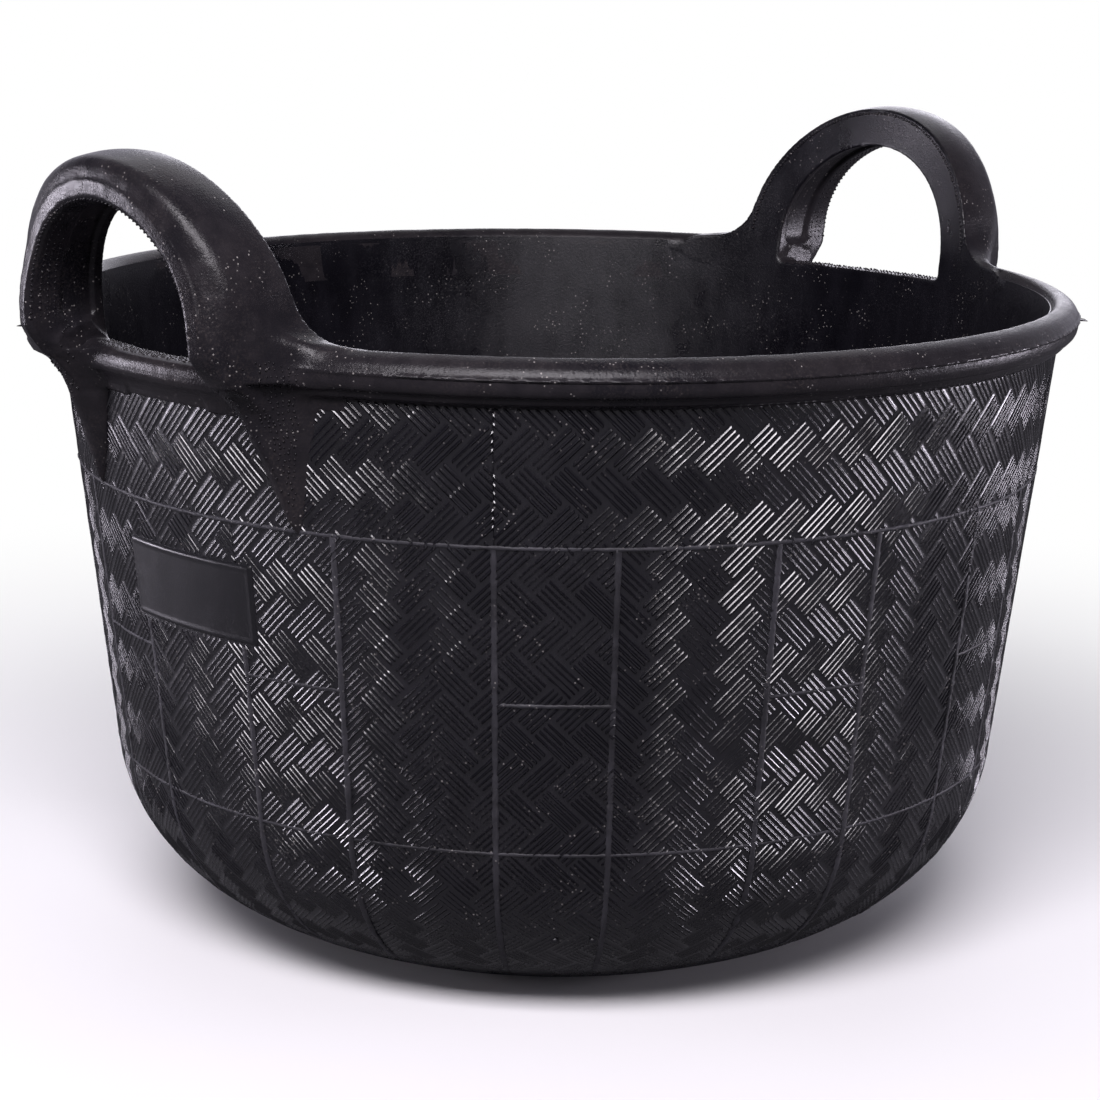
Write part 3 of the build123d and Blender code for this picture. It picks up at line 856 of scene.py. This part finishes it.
def flash_tab(az, r, z, out, wide_, drop, deep=2.5):
    """Thin triangular sliver of moulding flash standing outwards."""
    a_ = math.radians(az)
    e, t, u_ = np.array([math.cos(a_), math.sin(a_), 0]), np.array([-math.sin(a_), math.cos(a_), 0]), np.array([0, 0, 1.0])
    c = e * r + u_ * z
    b0_ = len(tab_v)
    for h in (-0.45, 0.45):
        tab_v.extend([c - e * deep - t * wide_ / 2 + u_ * h, c - e * deep + t * wide_ / 2 + u_ * h,
                      c + e * out * 0.6 + t * wide_ * 0.28 + u_ * (h * 0.7 - drop * 0.5), c + e * out - t * wide_ * 0.05 + u_ * (h * 0.3 - drop),
                      c + e * out * 0.4 - t * wide_ * 0.34 + u_ * (h * 0.7 - drop * 0.3)])
    tab_f.append(tuple(b0_ + k for k in (4, 3, 2, 1, 0)))
    tab_f.append(tuple(b0_ + 5 + k for k in (0, 1, 2, 3, 4)))
    for k in range(5):
        l = (k + 1) % 5
        tab_f.append((b0_ + k, b0_ + l, b0_ + 5 + l, b0_ + 5 + k))


flash_tab(304.5, 250.0, 301.0, 3.6, 8.0, 0.8)
ray = np.linspace(262, 284, 441)
az_ = math.radians(165.4 + 180)
f_ = handle_field(np.stack([ray * math.cos(az_), ray * math.sin(az_), np.full(441, 304.6)], 1))
foot_r = float(ray[f_ < 0][-1]) if (f_ < 0).any() else 276.0
flash_tab(165.4, foot_r, 304.6, 3.2, 2.6, 0.2, deep=0.7)
tabs = make_mesh("flash_tabs", np.array(tab_v), tab_f, smooth=False)
tabs.data.materials.append(MAT_RIM)
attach(tabs, "tub")
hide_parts("rim_bead")

# ------------------------------------------------------------------ seam ribs on the wall
rib_v, rib_f = [], []
RIB = np.array([(-1.5, -0.8), (-1.35, 0.3), (-0.95, 0.62), (0.95, 0.62), (1.35, 0.3), (1.5, -0.8)])


def add_rib(us, vs, width=1.0, height=1.0, closed=False):
    us, vs = np.asarray(us, float), np.asarray(vs, float)
    n = len(us)
    du = np.gradient(us)
    dv = np.gradient(vs)
    ln = np.hypot(du, dv)
    sx, sy = dv / ln, -du / ln            # sideways direction in (u, v)
    base = len(rib_v)
    jit = value_noise(np.stack([us, vs, np.zeros(n)], 1), 2.1, 51)
    jit2 = value_noise(np.stack([us, vs, np.zeros(n)], 1), 1.9, 52)
    jit3 = value_noise(np.stack([us, vs, np.zeros(n)], 1), 15.0, 53)
    for o, h in RIB:
        off = o * width * (1 + 0.2 * jit)
        fade = sst((np.interp(vs, V, MER[:, 0]) - 158.0) / 30.0)
        hh = h * height * (1 + 0.4 * jit2 + 0.45 * jit3) * fade - 0.5 * (1 - fade) if h > 0 else np.full(n, h)
        rr = np.interp(vs, V, MER[:, 0]) / R0
        pts = surf(us + sx * off / rr, vs + sy * off / rr, 0) + (surf(us, vs, 1.0) - surf(us, vs, 0)) * hh[:, None]
        rib_v.append(pts)
    m = len(RIB)
    start = base // 1
    return n, m


def flush_rib(n, m, closed=False):
    """Stack the last m rails of n points into faces."""
    global rib_count
    rails = [rib_v.pop() for _ in range(m)][::-1]
    pts = np.stack(rails, 1).reshape(-1, 3)      # n x m
    b = rib_count
    store.append(pts)
    rng = n if closed else n - 1
    for s in range(rng):
        t = (s + 1) % n
        for k in range(m):
            l = (k + 1) % m
            rib_f.append((b + s * m + k, b + s * m + l, b + t * m + l, b + t * m + k))
    if not closed:
        rib_f.append(tuple(b + k for k in range(m))[::-1])
        rib_f.append(tuple(b + (n - 1) * m + k for k in range(m)))
    rib_count += n * m


store, rib_count = [], 0
v_end = float(np.interp(156.0, MER[:1100, 0], V[:1100]))
for k in range(12):
    for sgn in (-1, 1):
        a = 30 * k + sgn * WIDE_HALF
        top = 0.0
        if k == 6:
            top = v_of_z(PAD_Z[0] - 1.0)
        vs = np.arange(top, v_end, -1.3)
        us = np.full(len(vs), math.radians(a) * R0)
        flush_rib(*add_rib(us, vs, 1.0, 1.0))
    a0, a1 = math.radians(30 * k + WIDE_HALF) * R0, math.radians(30 * k + 30 - WIDE_HALF) * R0
    us = np.arange(a0, a1, 1.3)
    flush_rib(*add_rib(us, np.full(len(us), V_MID), 0.62, 0.95))
us = np.arange(0, 2 * math.pi * R0 - 0.7, 1.3)
for vv, wd, ht in ((0.0, 0.62, 1.05), (V_LOW, 0.55, 0.8)):
    n, m = add_rib(us, np.full(len(us), vv), wd, ht)
    flush_rib(n, m, closed=True)
ribs = make_mesh("seam_ribs", np.vstack(store), rib_f)
ribs.data.materials.append(MAT_RIB)
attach(ribs, "tub")
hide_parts("tub_shell")

# four small mould vent pips near the foot, in two pairs on opposite sides
pip_v, pip_f = [], []


def add_pip(az, z, rad, hgt):
    u0, v0 = math.radians(az) * R0, float(np.interp(z, MER[300:, 1], V[300:]))
    rings = [(1.0, -0.8), (1.0, 0.25), (0.8, 0.75), (0.45, 1.0), (0.12, 1.05)]
    b = len(pip_v)
    for f, h in rings:
        for t in np.linspace(0, 2 * math.pi, 14, endpoint=False):
            k = np.interp(v0, V, MER[:, 0]) / R0
            pip_v.append(surf(np.array([u0 + rad * f * math.cos(t) / k]), np.array([v0 + rad * f * math.sin(t) / k]), h * hgt)[0])
    for s in range(len(rings) - 1):
        for t in range(14):
            q = (t + 1) % 14
            pip_f.append((b + s * 14 + t, b + s * 14 + q, b + (s + 1) * 14 + q, b + (s + 1) * 14 + t))
    pip_f.append(tuple(b + (len(rings) - 1) * 14 + t for t in range(14)))
    pip_f.append(tuple(b + t for t in range(13, -1, -1)))


add_pip(225.5, 46.0, 1.8, 1.3)
add_pip(230.2, 46.0, 1.8, 1.3)
add_pip(45.5, 46.0, 1.8, 1.3)
add_pip(50.2, 46.0, 1.8, 1.3)
pips = make_mesh("vent_pips", np.array(pip_v), pip_f)
pips.data.materials.append(MAT_PAD)
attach(pips, "tub")
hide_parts("tub_shell")

# ------------------------------------------------------------------ blank label pad
nu, nw = 90, 42
uu = np.linspace(-1, 1, nu)
ww = np.linspace(-1, 1, nw)
pu, pv = [], []
U_, W_ = np.meshgrid(uu, ww, indexing="ij")
half_u, half_z = PAD_HALF * 232.0, (PAD_Z[1] - PAD_Z[0]) / 2
dx = (1 - np.abs(U_)) * half_u
dz = (1 - np.abs(W_)) * half_z
rim_d = np.minimum(dx, dz)
hgt = -0.9 + 1.9 * sst(rim_d / 1.6) - 0.25 * sst((rim_d - 2.5) / 1.2)
zc = (PAD_Z[0] + PAD_Z[1]) / 2
Zp = zc + W_ * half_z
Ap = math.pi + U_ * PAD_HALF
hgt = hgt + 0.05 * value_noise(np.stack([Ap.ravel() * 230, Zp.ravel(), 0 * Zp.ravel()], 1), 9.0, 61).reshape(hgt.shape)
Rp = wall_r(Zp) + hgt
top = np.stack([Rp * np.cos(Ap), Rp * np.sin(Ap), Zp], -1).reshape(-1, 3)
Rb = wall_r(Zp) - 1.6
bot = np.stack([Rb * np.cos(Ap), Rb * np.sin(Ap), Zp], -1).reshape(-1, 3)
pf = []
for i in range(nu - 1):
    for j in range(nw - 1):
        a, b, c, d = i * nw + j, (i + 1) * nw + j, (i + 1) * nw + j + 1, i * nw + j + 1
        pf.append((a, b, c, d))
        pf.append(tuple(x + nu * nw for x in (d, c, b, a)))
edge = [i * nw for i in range(nu)] + [(nu - 1) * nw + j for j in range(1, nw)] + [i * nw + nw - 1 for i in range(nu - 2, -1, -1)] + [j for j in range(nw - 2, 0, -1)]
for a, b in zip(edge, edge[1:] + edge[:1]):
    pf.append((b, a, a + nu * nw, b + nu * nw))
pad = make_mesh("label_pad_skin", np.vstack([top, bot]), pf)
pad.data.materials.append(MAT_PAD)
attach(pad, "tub")
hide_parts("label_pad")

# one three-strand cord through each handle and down into its roots, swept along a fixed path through the arch
foot_x, foot_z, half_, arc_ = 251.0, 293.0, 64.25, 16.0
lean_ = math.atan(8.5 / 76.0)
sa, ca = math.sin(lean_), math.cos(lean_)
th = np.linspace(0, math.pi, 150)
legs = np.linspace(5.0, arc_, 9)[:-1]
path = [(238.9 + (250.9 - 238.9) * k / 12, -half_, 279.6 + (297.0 - 279.6) * k / 12) for k in range(12)]
path += [(foot_x + q * sa, -half_, foot_z + q * ca) for q in legs]
arch = [(foot_x + (arc_ + half_ * math.sin(t)) * sa, -half_ * math.cos(t), foot_z + (arc_ + half_ * math.sin(t)) * ca) for t in th]
path = np.array(path + arch + [(x, -y, z) for x, y, z in path[::-1]])
for _ in range(2):
    path[1:-1] = 0.25 * path[:-2] + 0.5 * path[1:-1] + 0.25 * path[2:]
T = np.gradient(path, axis=0)
T /= np.linalg.norm(T, axis=1)[:, None]
side_n = np.array([ca, 0, -sa]) - T * (T @ np.array([ca, 0, -sa]))[:, None]
side_n /= np.linalg.norm(side_n, axis=1)[:, None]
side_b = np.cross(T, side_n)
along = np.concatenate([[0], np.cumsum(np.linalg.norm(np.diff(path, axis=0), axis=1))])
phi = np.arange(24) * 2 * math.pi / 24
rad_ = 3.25 + 0.4 * np.abs(np.cos(1.5 * (phi[None, :] - along[:, None] * 2 * math.pi / 15.0)))
cord_v = (path[:, None, :] + side_n[:, None, :] * (rad_ * np.cos(phi))[..., None] + side_b[:, None, :] * (rad_ * np.sin(phi))[..., None]).reshape(-1, 3)
m_ = len(path)
cord_f = [(k * 24 + q, k * 24 + (q + 1) % 24, (k + 1) * 24 + (q + 1) % 24, (k + 1) * 24 + q) for k in range(m_ - 1) for q in range(24)]
cord_f += [tuple(range(23, -1, -1)), tuple((m_ - 1) * 24 + q for q in range(24))]
for side, nm in ((1, "right"), (-1, "left")):
    ob = make_mesh(nm + "_cord", cord_v * np.array([side, side, 1.0]), cord_f)
    ob.data.materials.append(MAT_CORD)
    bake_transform(ob)
    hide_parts(nm + "_handle_cord", nm + "_cord_tails")

# ------------------------------------------------------------------ studio
bpy.ops.mesh.primitive_plane_add(size=14, location=(0, 0, 0))
floor = bpy.context.object
floor.name = "studio_floor"
fm = bpy.data.materials.new("studio_floor")
fm.use_nodes = True
ft = fm.node_tree
fb = ft.nodes["Principled BSDF"]
fo = [n for n in ft.nodes if n.type == "OUTPUT_MATERIAL"][0]
fn = ft.nodes.new("ShaderNodeTexNoise")
fn.inputs["Scale"].default_value = 3.0
fr = ft.nodes.new("ShaderNodeValToRGB")
fr.color_ramp.elements[0].color = (0.88, 0.88, 0.885, 1)
fr.color_ramp.elements[1].color = (0.93, 0.93, 0.93, 1)
ft.links.new(fn.outputs["Fac"], fr.inputs[0])
ft.links.new(fr.outputs[0], fb.inputs["Base Color"])
fb.inputs["Roughness"].default_value = 0.9
fb.inputs["Specular IOR Level"].default_value = 0.1
fg = ft.nodes.new("ShaderNodeNewGeometry")
fl = ft.nodes.new("ShaderNodeVectorMath")
fl.operation = "LENGTH"
ft.links.new(fg.outputs["Position"], fl.inputs[0])
fmr = ft.nodes.new("ShaderNodeMapRange")
fmr.interpolation_type = "SMOOTHSTEP"
fmr.inputs["From Min"].default_value = 0.2
fmr.inputs["From Max"].default_value = 0.95
ft.links.new(fl.outputs["Value"], fmr.inputs["Value"])
fe = ft.nodes.new("ShaderNodeEmission")
fe.inputs[0].default_value = (1, 1, 1, 1)
fe.inputs[1].default_value = 1.0
fx = ft.nodes.new("ShaderNodeMixShader")
ft.links.new(fmr.outputs[0], fx.inputs[0])
ft.links.new(fb.outputs[0], fx.inputs[1])
ft.links.new(fe.outputs[0], fx.inputs[2])
fd = ft.nodes.new("ShaderNodeBsdfDiffuse")
fd.inputs[0].default_value = (0.16, 0.16, 0.17, 1)
fp = ft.nodes.new("ShaderNodeLightPath")
fy = ft.nodes.new("ShaderNodeMixShader")
ft.links.new(fp.outputs["Is Camera Ray"], fy.inputs[0])
ft.links.new(fd.outputs[0], fy.inputs[1])
ft.links.new(fx.outputs[0], fy.inputs[2])
ft.links.new(fy.outputs[0], fo.inputs[0])
floor.data.materials.append(fm)

# world: white behind the object as seen from the camera, dim on the camera's side
AZ = math.radians(-90 - 45)
world = bpy.data.worlds.new("studio")
bpy.context.scene.world = world
world.use_nodes = True
wt = world.node_tree
wt.nodes.clear()
wo = wt.nodes.new("ShaderNodeOutputWorld")
mixs = wt.nodes.new("ShaderNodeMixShader")
lp = wt.nodes.new("ShaderNodeLightPath")
wc = wt.nodes.new("ShaderNodeTexCoord")
wd = wt.nodes.new("ShaderNodeVectorMath")
wd.operation = "DOT_PRODUCT"
wd.inputs[1].default_value = (-math.cos(AZ), -math.sin(AZ), 0.0)
wt.links.new(wc.outputs["Generated"], wd.inputs[0])
wm = wt.nodes.new("ShaderNodeMapRange")
wm.interpolation_type = "SMOOTHSTEP"
wm.inputs["From Min"].default_value = 0.3
wm.inputs["From Max"].default_value = 1.0
wm.inputs["To Min"].default_value = 0.03
wm.inputs["To Max"].default_value = 0.9
wt.links.new(wd.outputs["Value"], wm.inputs["Value"])
b1 = wt.nodes.new("ShaderNodeBackground")
b1.inputs[0].default_value = (0.86, 0.83, 0.97, 1)
wt.links.new(wm.outputs[0], b1.inputs[1])
b2 = wt.nodes.new("ShaderNodeBackground")
b2.inputs[0].default_value = (1, 1, 1, 1)
b2.inputs[1].default_value = 1.0
wt.links.new(lp.outputs["Is Camera Ray"], mixs.inputs[0])
wt.links.new(b1.outputs[0], mixs.inputs[1])
wt.links.new(b2.outputs[0], mixs.inputs[2])
wt.links.new(mixs.outputs[0], wo.inputs[0])

# camera
D, ELEV, PITCH, ROLL = 1.350, 0.24376029688799267, 0.2161178574767785, 0.013907230697594676
cam_pos = Vector((D * math.cos(ELEV) * math.cos(AZ), D * math.cos(ELEV) * math.sin(AZ), 0.150 + D * math.sin(ELEV)))
fwd_h = Vector((-math.cos(AZ), -math.sin(AZ), 0))
fwd = (fwd_h * math.cos(PITCH) + Vector((0, 0, -math.sin(PITCH)))).normalized()
up0 = (fwd_h * math.sin(PITCH) + Vector((0, 0, math.cos(PITCH)))).normalized()
right0 = fwd.cross(up0).normalized()
right = right0 * math.cos(ROLL) + up0 * math.sin(ROLL)
up = up0 * math.cos(ROLL) - right0 * math.sin(ROLL)
cd = bpy.data.cameras.new("photo_camera")
cam = bpy.data.objects.new("photo_camera", cd)
bpy.context.scene.collection.objects.link(cam)
cam.matrix_world = Matrix(((right.x, up.x, -fwd.x, cam_pos.x), (right.y, up.y, -fwd.y, cam_pos.y), (right.z, up.z, -fwd.z, cam_pos.z), (0, 0, 0, 1)))
cd.sensor_width = 36.0
cd.lens = 1.996220291629272 * 1350.0 / 1100.0 * 36.0
cd.shift_x = -(556.5922978628023 - 550.0) / 1100.0
cd.shift_y = (524.4787602714863 - 550.0) / 1100.0
cd.clip_end = 50
bpy.context.scene.camera = cam


def softbox(name, az_from_cam, elev, dist, size, power, color=(1, 1, 1), aim=(0, 0, 0.22)):
    """Area light placed by angle round the object from the camera's side, + to the right."""
    a = AZ + math.radians(az_from_cam)
    e = math.radians(elev)
    p = Vector((dist * math.cos(e) * math.cos(a), dist * math.cos(e) * math.sin(a), dist * math.sin(e) + aim[2]))
    ld = bpy.data.lights.new(name, "AREA")
    ld.shape = "RECTANGLE"
    ld.size, ld.size_y = size
    ld.energy = power
    ld.color = color
    ob = bpy.data.objects.new(name, ld)
    ob.location = p
    ob.rotation_euler = (Vector(aim) - p).to_track_quat("-Z", "Y").to_euler()
    bpy.context.scene.collection.objects.link(ob)
    ob.visible_camera = False
    return ob


softbox("key_front", -9, 40, 1.9, (1.3, 0.6), 52, (0.985, 0.935, 1.0))
softbox("side_left", -100, 3, 2.0, (0.7, 0.32), 19, (0.93, 0.87, 1.0), (0, 0, 0.05))
softbox("side_right", 98, 3, 2.0, (0.7, 0.32), 22, (0.93, 0.87, 1.0), (0, 0, 0.05))
softbox("back_top", 180, 48, 2.3, (2.2, 0.7), 6)
softbox("back_low", 172, 16, 2.4, (1.6, 0.7), 10, (0.94, 0.92, 1.0))
sc = bpy.context.scene
sc.view_settings.view_transform = "Standard"
sc.view_settings.look = "None"

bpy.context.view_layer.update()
